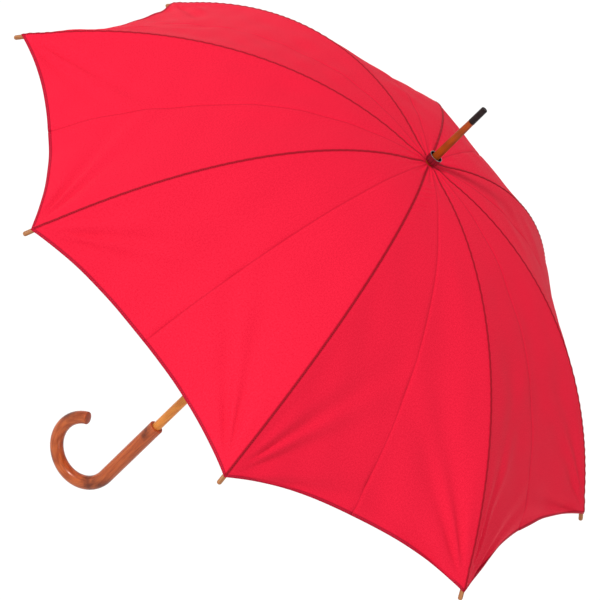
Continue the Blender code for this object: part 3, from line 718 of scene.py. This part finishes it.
def make_cup(finish):
    low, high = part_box("crown_cap")
    base, top, outer = low[2], high[2], high[0]
    wall = 0.0007
    hole = SPIKE_BASE_RADIUS + 0.00025
    profile = [(hole, base + 0.0001), (outer * 0.60, base)]
    for step in range(1, 9):
        turn = math.pi / 2 * step / 8
        radius = outer * (0.60 + 0.36 * math.sin(turn))
        profile.append((radius, base + 0.0052 * (1 - math.cos(turn))))
    profile += [(outer * 0.975, base + 0.0080), (outer * 0.985, top - 0.0010)]
    lip = wall * 0.62
    for step in range(0, 9):
        turn = math.pi * step / 8
        radius = outer - lip + lip * math.cos(turn)
        profile.append((radius, top - lip + lip * math.sin(turn)))
    profile += [(outer * 0.96 - wall, base + 0.0060)]
    for step in range(7, -1, -1):
        turn = math.pi / 2 * step / 8
        radius = outer * (0.60 + 0.36 * math.sin(turn)) - wall * 0.8
        profile.append((max(radius, hole + 0.0001), base + wall + 0.0050 * (1 - math.cos(turn))))
    profile += [(hole, base + wall)]
    piece = turned("crown_cup", profile, finish, sides=72, closed=True, angle=50)
    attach(piece, "stick")
    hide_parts("crown_cap")


def make_tips(finish):
    """Turned wooden beads that sit on the rib ends."""
    start = RIB_LENGTH - TIP_LENGTH
    radius = TIP_RADIUS
    bore = 0.0022
    profile = [(bore, TIP_SOCKET), (bore, 0.0003), (bore + 0.0002, 0), (radius - 0.0007, 0)]
    profile += [(radius - 0.0004, 0.0006), (radius - 0.0001, 0.0060), (radius, TIP_LENGTH * 0.5)]
    profile += [(radius, TIP_LENGTH - 0.0030)]
    profile += rounded(radius, TIP_LENGTH - 0.0028, 0.0028, 8)[:-1]
    for rib in range(1, RIBS + 1):
        piece = turned(f"tip_bead_{rib}", profile, finish, sides=32)
        mark_wood(piece)
        middle = start + TIP_SOCKET / 2
        slope = float(rib_slope(middle))
        along = Vector((math.cos(slope), 0, -math.sin(slope)))
        foot = rib_place(middle) - along * (TIP_SOCKET / 2)
        lean = Matrix.Rotation(math.pi / 2 + slope, 4, "Y")
        turn = Matrix.Rotation(rib_angle(rib), 4, "Z")
        piece.matrix_world = turn @ Matrix.Translation(foot) @ lean
        apply_place(piece)
        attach(piece, f"rib_end_{rib}")
        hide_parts(f"rib_tip_{rib}")


# ---------------------------------------------------------------- tie strap

STRAP_RIB = 7
STRAP_START = 0.400
STRAP_LENGTH = 0.130
STRAP_WIDTH = 0.014


def make_strap(cloth, metal):
    """The strap that ties the folded canopy, lying on the seam, and its snap button."""
    clear = CLOTH_LIFT + 0.0013
    sides = np.array([-1.0, -0.92, -0.7, -0.3, 0.0, 0.3, 0.7, 0.92, 1.0]) * STRAP_WIDTH / 2
    puff = np.array([0.0, 0.0002, 0.0001, 0.00025, 0.0003, 0.00025, 0.0001, 0.0002, 0.0])
    steps = np.linspace(STRAP_START, STRAP_START + STRAP_LENGTH, 61)
    end = np.minimum((steps - steps[0]), (steps[-1] - steps)) / 0.004
    round_end = np.sqrt(np.clip(1 - (1 - np.clip(end, 0, 1)) ** 2, 0.02, 1))
    narrow = np.where(steps < steps.mean(), 1.0, round_end)
    turn = np.array(Matrix.Rotation(rib_angle(STRAP_RIB), 3, "Z"))

    def layer(rise):
        rows = []
        for side, bulge in zip(sides, puff):
            lift = clear + rise + bulge * (rise > 0)
            slope = rib_slope(steps)
            x = rib_radius(steps) + lift * np.sin(slope)
            z = rib_height(steps) + lift * np.cos(slope)
            rows.append(np.stack([x, side * narrow, z], -1) @ turn.T)
        return np.stack(rows, 1)

    across, down = np.meshgrid(sides, steps)
    uv = np.stack([across, down], -1)
    piece = link("strap_band", sheet_mesh("strap_band", layer(0.0006), layer(0.0), uv), cloth)
    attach(piece, f"rib_end_{STRAP_RIB}")
    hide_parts("tie_strap")
    low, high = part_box("strap_button")
    middle = (Vector(low) + Vector(high)) / 2
    profile = [(0.0046, 0.0), (0.0047, 0.0003), (0.0045, 0.0007), (0.0038, 0.0011)]
    profile += [(0.0030, 0.0012), (0.0026, 0.0009), (0.0018, 0.0009), (0.0013, 0.0013)]
    profile += [(0.0006, 0.00145)]
    snap = turned("snap_button", profile, metal, sides=40)
    slope = float(rib_slope(STRAP_START + STRAP_LENGTH - 0.010))
    lean = Matrix.Rotation(rib_angle(STRAP_RIB), 4, "Z") @ Matrix.Rotation(slope, 4, "Y")
    snap.matrix_world = Matrix.Translation(middle) @ lean @ Matrix.Translation((0, 0, -0.0010))
    apply_place(snap)
    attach(snap, f"rib_end_{STRAP_RIB}")
    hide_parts("strap_button")


# ---------------------------------------------------------------- finishes


def new_finish(name, color, roughness, metallic=0.0):
    made = bpy.data.materials.new(name)
    made.use_nodes = True
    shader = made.node_tree.nodes["Principled BSDF"]
    shader.inputs["Base Color"].default_value = (*color, 1.0)
    shader.inputs["Roughness"].default_value = roughness
    shader.inputs["Metallic"].default_value = metallic
    return made, made.node_tree, shader


def add_node(tree, kind, **settings):
    node = tree.nodes.new(kind)
    for key, value in settings.items():
        setattr(node, key, value)
    return node


def feed(tree, socket, value):
    if hasattr(value, "is_linked") or isinstance(value, bpy.types.NodeSocket):
        tree.links.new(value, socket)
    else:
        socket.default_value = value


def maths(tree, operation, first, second=None, third=None, clamp=False):
    node = add_node(tree, "ShaderNodeMath", operation=operation, use_clamp=clamp)
    for socket, value in zip(node.inputs, (first, second, third)):
        if value is not None:
            feed(tree, socket, value)
    return node.outputs[0]


def times(tree, first, second):
    return maths(tree, "MULTIPLY", first, second)


def attribute(tree, name, output="Fac"):
    return add_node(tree, "ShaderNodeAttribute", attribute_name=name).outputs[output]


def blend_colors(tree, share, first, second):
    node = add_node(tree, "ShaderNodeMix", data_type="RGBA")
    feed(tree, node.inputs["Factor"], share)
    for socket, value in ((node.inputs[6], first), (node.inputs[7], second)):
        feed(tree, socket, (*value, 1.0) if isinstance(value, tuple) else value)
    return node.outputs[2]


def noise(tree, vector, scale, detail=4.0, roughness=0.5, output="Fac"):
    node = add_node(tree, "ShaderNodeTexNoise")
    feed(tree, node.inputs["Vector"], vector)
    node.inputs["Scale"].default_value = scale
    node.inputs["Detail"].default_value = detail
    node.inputs["Roughness"].default_value = roughness
    return node.outputs[output]


def spread_range(tree, value, low, high, to_low=0.0, to_high=1.0):
    node = add_node(tree, "ShaderNodeMapRange", interpolation_type="SMOOTHSTEP")
    for socket, number in zip(node.inputs, (value, low, high, to_low, to_high)):
        feed(tree, socket, number)
    return node.outputs[0]


def bump(tree, shader, height, distance, strength=1.0, normal=None):
    node = add_node(tree, "ShaderNodeBump")
    node.inputs["Strength"].default_value = strength
    node.inputs["Distance"].default_value = distance
    feed(tree, node.inputs["Height"], height)
    if normal is not None:
        feed(tree, node.inputs["Normal"], normal)
    if shader is not None:
        tree.links.new(node.outputs[0], shader.inputs["Normal"])
    return node.outputs[0]


def new_group(name, inputs, outputs):
    group = bpy.data.node_groups.new(name, "ShaderNodeTree")
    for socket, kind in inputs:
        group.interface.new_socket(name=socket, in_out="INPUT", socket_type=kind)
    for socket, kind in outputs:
        group.interface.new_socket(name=socket, in_out="OUTPUT", socket_type=kind)
    return group, group.nodes.new("NodeGroupInput"), group.nodes.new("NodeGroupOutput")


def weave_group():
    """Plain weave: threads over and under, with uneven yarn."""
    inputs = [("Vector", "NodeSocketVector"), ("Threads per metre", "NodeSocketFloat")]
    outputs = [("Height", "NodeSocketFloat"), ("Uneven", "NodeSocketFloat")]
    group, into, out = new_group("plain_weave", inputs, outputs)
    split = add_node(group, "ShaderNodeSeparateXYZ")
    group.links.new(into.outputs["Vector"], split.inputs[0])
    pace = maths(group, "MULTIPLY", into.outputs["Threads per metre"], math.pi)
    across = maths(group, "SINE", maths(group, "MULTIPLY", split.outputs[0], pace))
    along = maths(group, "SINE", maths(group, "MULTIPLY", split.outputs[1], pace))
    height = maths(group, "MULTIPLY", across, along)
    uneven = noise(group, into.outputs["Vector"], 900.0, detail=2.0)
    broad = noise(group, into.outputs["Vector"], 420.0, detail=3.0)
    group.links.new(maths(group, "MULTIPLY_ADD", uneven, 0.8, height), out.inputs["Height"])
    group.links.new(maths(group, "MULTIPLY_ADD", broad, 0.5, uneven), out.inputs["Uneven"])
    return group


def grain_group():
    """Wood along Z: fine streaks, growth rings and pores."""
    inputs = [("Vector", "NodeSocketVector")]
    outputs = [(name, "NodeSocketFloat") for name in ("Rings", "Streaks", "Pores")]
    group, into, out = new_group("wood_grain", inputs, outputs)

    def stretched(x, z):
        node = add_node(group, "ShaderNodeMapping", vector_type="POINT")
        group.links.new(into.outputs["Vector"], node.inputs["Vector"])
        node.inputs["Scale"].default_value = (x, x, z)
        return node.outputs[0]

    streaks = noise(group, stretched(1.0, 0.045), 900.0, detail=5.0, roughness=0.6)
    rings = add_node(group, "ShaderNodeTexWave", wave_type="RINGS", rings_direction="X")
    group.links.new(stretched(1.0, 0.10), rings.inputs["Vector"])
    rings.inputs["Scale"].default_value = 130.0
    rings.inputs["Distortion"].default_value = 3.0
    rings.inputs["Detail"].default_value = 2.0
    rings.inputs["Detail Scale"].default_value = 1.0
    pores = noise(group, stretched(1.0, 0.02), 2600.0, detail=2.0)
    group.links.new(rings.outputs["Fac"], out.inputs["Rings"])
    group.links.new(streaks, out.inputs["Streaks"])
    group.links.new(spread_range(group, pores, 0.56, 0.70), out.inputs["Pores"])
    return group


def wear_group():
    """Fine scratches and finger marks on metal."""
    inputs = [("Vector", "NodeSocketVector")]
    outputs = [("Scratches", "NodeSocketFloat"), ("Smudge", "NodeSocketFloat")]
    group, into, out = new_group("metal_wear", inputs, outputs)
    node = add_node(group, "ShaderNodeMapping", vector_type="POINT")
    group.links.new(into.outputs["Vector"], node.inputs["Vector"])
    node.inputs["Scale"].default_value = (1.0, 1.0, 9.0)
    node.inputs["Rotation"].default_value = (0.3, 0.2, 0.0)
    scratches = noise(group, node.outputs[0], 1400.0, detail=3.0)
    group.links.new(scratches, out.inputs["Scratches"])
    group.links.new(noise(group, into.outputs["Vector"], 160.0, detail=4.0), out.inputs["Smudge"])
    return group


def use_group(tree, group, vector):
    node = add_node(tree, "ShaderNodeGroup", node_tree=group)
    tree.links.new(vector, node.inputs["Vector"])
    return node


def place_of(tree, output="Object"):
    return add_node(tree, "ShaderNodeTexCoord").outputs[output]


def red_cloth(weave):
    made, tree, shader = new_finish("red_cloth", (0.72, 0.016, 0.045), 0.72)
    shader.inputs["Specular IOR Level"].default_value = 0.09
    threads = use_group(tree, weave, place_of(tree, "UV"))
    threads.inputs["Threads per metre"].default_value = 1900.0
    yarn = spread_range(tree, threads.outputs["Uneven"], 0.55, 0.95)
    color = blend_colors(tree, yarn, (0.655, 0.005, 0.028), (0.775, 0.013, 0.044))
    # Painted shade: the cloth is darkened towards a dark red along the seams, beside the hem and along the middle
    # crease, where the ridges and folds cast shade; at the seams and the hem this also stands for the cloth lying
    # double
    seam = spread_range(tree, attribute(tree, "to_seam"), 0.0012, 0.0034, 1.0, 0.0)
    hem = spread_range(tree, attribute(tree, "to_hem"), 0.0035, 0.0050, 1.0, 0.0)
    crease = spread_range(tree, attribute(tree, "to_crease"), 0.0003, 0.0018, 0.32, 0.0)
    double_cloth_and_shade = maths(tree, "MAXIMUM", times(tree, seam, 0.55), times(tree, hem, 0.30))
    double_cloth_and_shade = maths(tree, "MAXIMUM", double_cloth_and_shade, crease)
    color = blend_colors(tree, double_cloth_and_shade, color, (0.36, 0.002, 0.016))
    tree.links.new(color, shader.inputs["Base Color"])
    rough = spread_range(tree, threads.outputs["Uneven"], 0.3, 1.2, 0.80, 0.64)
    tree.links.new(rough, shader.inputs["Roughness"])
    bump(tree, shader, threads.outputs["Height"], 0.00006, 0.5)
    return made


def seam_cloth(name, weave, color, dark, stitches_at=0.0008):
    """Folded cloth with a row of stitches, stitches_at to one side of its middle."""
    made, tree, shader = new_finish(name, color, 0.62)
    shader.inputs["Specular IOR Level"].default_value = 0.10
    where = place_of(tree, "UV")
    threads = use_group(tree, weave, where)
    threads.inputs["Threads per metre"].default_value = 1700.0
    split = add_node(tree, "ShaderNodeSeparateXYZ")
    tree.links.new(where, split.inputs[0])
    gap = maths(tree, "ABSOLUTE", maths(tree, "ADD", split.outputs[0], -stitches_at))
    row = spread_range(tree, gap, 0.00022, 0.0005, 1.0, 0.0)
    beat = maths(tree, "SINE", maths(tree, "MULTIPLY", split.outputs[1], math.tau / 0.0032))
    stitch = maths(tree, "MULTIPLY", row, spread_range(tree, beat, -0.35, 0.25))
    yarn = spread_range(tree, threads.outputs["Uneven"], 0.45, 1.05)
    shade = blend_colors(tree, yarn, dark, color)
    thread = tuple(min(1.0, part * 1.25 + 0.01) for part in color)
    tree.links.new(blend_colors(tree, stitch, shade, thread), shader.inputs["Base Color"])
    tree.links.new(maths(tree, "MULTIPLY_ADD", stitch, -0.15, 0.66), shader.inputs["Roughness"])
    weave_normal = bump(tree, None, threads.outputs["Height"], 0.00006, 0.5)
    sunk = maths(tree, "SUBTRACT", maths(tree, "MULTIPLY", stitch, 1.4), row)
    bump(tree, shader, sunk, 0.00025, 0.8, normal=weave_normal)
    return made


def varnished_wood(name, grain, light, dark, roughness, coat, scorched):
    made, tree, shader = new_finish(name, light, roughness)
    shader.inputs["Specular IOR Level"].default_value = 0.18
    shader.inputs["Coat Weight"].default_value = coat
    shader.inputs["Coat Roughness"].default_value = 0.12
    wood = use_group(tree, grain, attribute(tree, "blank", "Vector"))
    streaks = times(tree, wood.outputs["Streaks"], 0.90)
    share = maths(tree, "MULTIPLY_ADD", wood.outputs["Rings"], 0.16, streaks)
    color = blend_colors(tree, spread_range(tree, share, 0.25, 0.85), light, dark)
    pore_color = tuple(part * 0.45 for part in dark)
    color = blend_colors(tree, times(tree, wood.outputs["Pores"], 0.35), color, pore_color)
    if scorched:
        patchy = noise(tree, attribute(tree, "blank", "Vector"), 120.0, detail=3.0)
        patchy = maths(tree, "MULTIPLY_ADD", patchy, 1.3, 0.30)
        burnt = times(tree, attribute(tree, "scorch"), patchy)
        burnt = spread_range(tree, burnt, 0.30, 1.05)
        color = blend_colors(tree, times(tree, burnt, 0.75), color, (0.050, 0.010, 0.007))
    tree.links.new(color, shader.inputs["Base Color"])
    ends = (roughness * 0.85, roughness * 1.2)
    rough = spread_range(tree, wood.outputs["Streaks"], 0.2, 0.8, *ends)
    tree.links.new(rough, shader.inputs["Roughness"])
    pores = times(tree, wood.outputs["Pores"], 0.6)
    height = maths(tree, "SUBTRACT", wood.outputs["Streaks"], pores)
    bump(tree, shader, height, 0.00004, 0.35)
    return made


def metal(name, wear, color, smooth, rough, depth):
    made, tree, shader = new_finish(name, color, smooth, 1.0)
    marks = use_group(tree, wear, place_of(tree))
    smudge = marks.outputs["Smudge"]
    dull = spread_range(tree, smudge, 0.3, 0.75, smooth, rough)
    tree.links.new(dull, shader.inputs["Roughness"])
    darker = tuple(part * 0.86 for part in color)
    color = blend_colors(tree, spread_range(tree, smudge, 0.35, 0.8), color, darker)
    tree.links.new(color, shader.inputs["Base Color"])
    bump(tree, shader, marks.outputs["Scratches"], depth, 0.25)
    return made


def painted_metal(name, wear, color, roughness):
    made, tree, shader = new_finish(name, color, roughness, 0.0)
    shader.inputs["Coat Weight"].default_value = 0.05
    shader.inputs["Coat Roughness"].default_value = 0.12
    shader.inputs["Specular IOR Level"].default_value = 0.15
    marks = use_group(tree, wear, place_of(tree))
    lighter = tuple(part * 1.7 + 0.004 for part in color)
    smudge = marks.outputs["Smudge"]
    shade = blend_colors(tree, spread_range(tree, smudge, 0.35, 0.75), color, lighter)
    tree.links.new(shade, shader.inputs["Base Color"])
    dull = spread_range(tree, smudge, 0.3, 0.8, roughness * 0.8, roughness * 1.3)
    tree.links.new(dull, shader.inputs["Roughness"])
    bump(tree, shader, marks.outputs["Scratches"], 0.00002, 0.3)
    return made


# Each cloth with its colour and its darker yarns
CLOTHS = {
    # Painted shade: the seam cloth on the welts is painted far darker than the canopy's cloth, to stand for the
    # shade along the seam ridges
    "seam_cloth": ((0.34, 0.003, 0.014), (0.24, 0.002, 0.010)),
    "washer_cloth": ((0.55, 0.008, 0.028), (0.42, 0.004, 0.020)),
    "strap_cloth": ((0.68, 0.013, 0.038), (0.60, 0.010, 0.032)),
}
# Each wood with its light and dark grain, roughness, varnish, and whether it is scorched
WOODS = {
    "light_wood": ((0.68, 0.265, 0.045), (0.46, 0.150, 0.024), 0.36, 0.08, False),
    "handle_wood": ((0.47, 0.112, 0.030), (0.24, 0.042, 0.012), 0.30, 0.10, True),
    "spike_wood": ((0.36, 0.060, 0.003), (0.22, 0.034, 0.002), 0.34, 0.10, False),
    "tip_wood": ((0.42, 0.18, 0.065), (0.28, 0.105, 0.038), 0.45, 0.05, False),
}
# Each bare metal with its colour, its roughness clean and smudged, and how deep its marks are
METALS = {
    "chrome": ((0.34, 0.34, 0.36), 0.07, 0.13, 0.00001),
    "plated_steel": ((0.66, 0.66, 0.68), 0.22, 0.36, 0.00002),
    "spring_steel": ((0.55, 0.55, 0.57), 0.20, 0.32, 0.00001),
}
# Each painted metal with its colour and roughness
PAINTS = {
    "dark_metal": ((0.010, 0.003, 0.003), 0.16),
    "black_steel": ((0.020, 0.020, 0.021), 0.38),
}
# Painted shade: the hem's cloth and its darker yarns are painted darker than the canopy's cloth, to stand for the
# shade on its rolled edge
HEM_SHADE_COLORS = ((0.46, 0.005, 0.026), (0.34, 0.003, 0.020))
HEM_STITCHES = -0.0020


def all_finishes():
    weave, grain, wear = weave_group(), grain_group(), wear_group()
    made = {"red_cloth": red_cloth(weave)}
    made["hem_cloth"] = seam_cloth("hem_cloth", weave, *HEM_SHADE_COLORS, HEM_STITCHES)
    made.update({name: seam_cloth(name, weave, *values) for name, values in CLOTHS.items()})
    made.update({name: varnished_wood(name, grain, *values) for name, values in WOODS.items()})
    made.update({name: metal(name, wear, *values) for name, values in METALS.items()})
    made.update({name: painted_metal(name, wear, *values) for name, values in PAINTS.items()})
    return made


def dress_frame(finishes):
    """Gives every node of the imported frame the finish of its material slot."""
    for part in frame["record"]["subparts"]:
        mesh = frame["nodes"][part["node"]].data
        mesh.materials.clear()
        mesh.materials.append(finishes[part["material_slot"]])


# ---------------------------------------------------------------- camera, light, floor

CAMERA_PLACE = Vector((-0.6624, 3.3673, 2.2716))
CAMERA_ALONG = Vector((0.16588, -0.85845, -0.48533))
CAMERA_UP = Vector((0.77075, -0.19414, 0.60684))
CAMERA_LENS = 174.4
FLOOR_Z = -3.0


def look_basis(along, up):
    back = -along.normalized()
    right = up.cross(back).normalized()
    return Matrix((right, back.cross(right), back)).transposed()


def make_camera():
    data = bpy.data.cameras.new("camera")
    data.lens = CAMERA_LENS
    data.sensor_width = 36.0
    camera = bpy.data.objects.new("camera", data)
    turn = look_basis(CAMERA_ALONG, CAMERA_UP).to_4x4()
    camera.matrix_world = Matrix.Translation(CAMERA_PLACE) @ turn
    bpy.context.scene.collection.objects.link(camera)
    bpy.context.scene.camera = camera


def make_light(name, place, spread, strength):
    """A light like the sun, that shines from place towards the origin."""
    data = bpy.data.lights.new(name, "SUN")
    data.angle = spread
    data.energy = strength
    light = bpy.data.objects.new(name, data)
    turn = look_basis(-Vector(place), Vector((0.1, 0.2, 1))).to_4x4()
    light.matrix_world = Matrix.Translation(place) @ turn
    bpy.context.scene.collection.objects.link(light)


def make_floor():
    bpy.ops.mesh.primitive_plane_add(size=400, location=(0, 0, FLOOR_Z))
    floor = bpy.context.object
    floor.name = "floor"
    finish, tree, shader = new_finish("pale_floor", (0.95, 0.95, 0.95), 0.9)
    mottle = noise(tree, place_of(tree), 0.6)
    shade = blend_colors(tree, mottle, (0.94, 0.94, 0.94), (0.97, 0.97, 0.97))
    tree.links.new(shade, shader.inputs["Base Color"])
    floor.data.materials.append(finish)


def make_stage():
    bpy.context.scene.view_settings.view_transform = "Standard"
    make_camera()
    make_floor()
    make_light("key_light", (2.35, 3.35, 2.87), math.radians(7), 2.3)
    make_light("fill_light", (-2.6, 0.9, 1.1), math.radians(30), 0.5)
    world = bpy.data.worlds.new("world")
    world.use_nodes = True
    back = world.node_tree.nodes["Background"]
    back.inputs["Color"].default_value = (1.0, 1.0, 1.0, 1.0)
    back.inputs["Strength"].default_value = 0.64
    bpy.context.scene.world = world


bpy.ops.object.select_all(action="DESELECT")
make_stage()
finishes = all_finishes()
dress_frame(finishes)
make_canopy(finishes["red_cloth"], finishes["hem_cloth"])
make_welts(finishes["seam_cloth"])
make_handle(finishes["handle_wood"])
make_stick(finishes["light_wood"])
make_spike(finishes["spike_wood"], finishes["dark_metal"])
make_cup(finishes["chrome"])
make_tips(finishes["tip_wood"])
make_strap(finishes["strap_cloth"], finishes["chrome"])
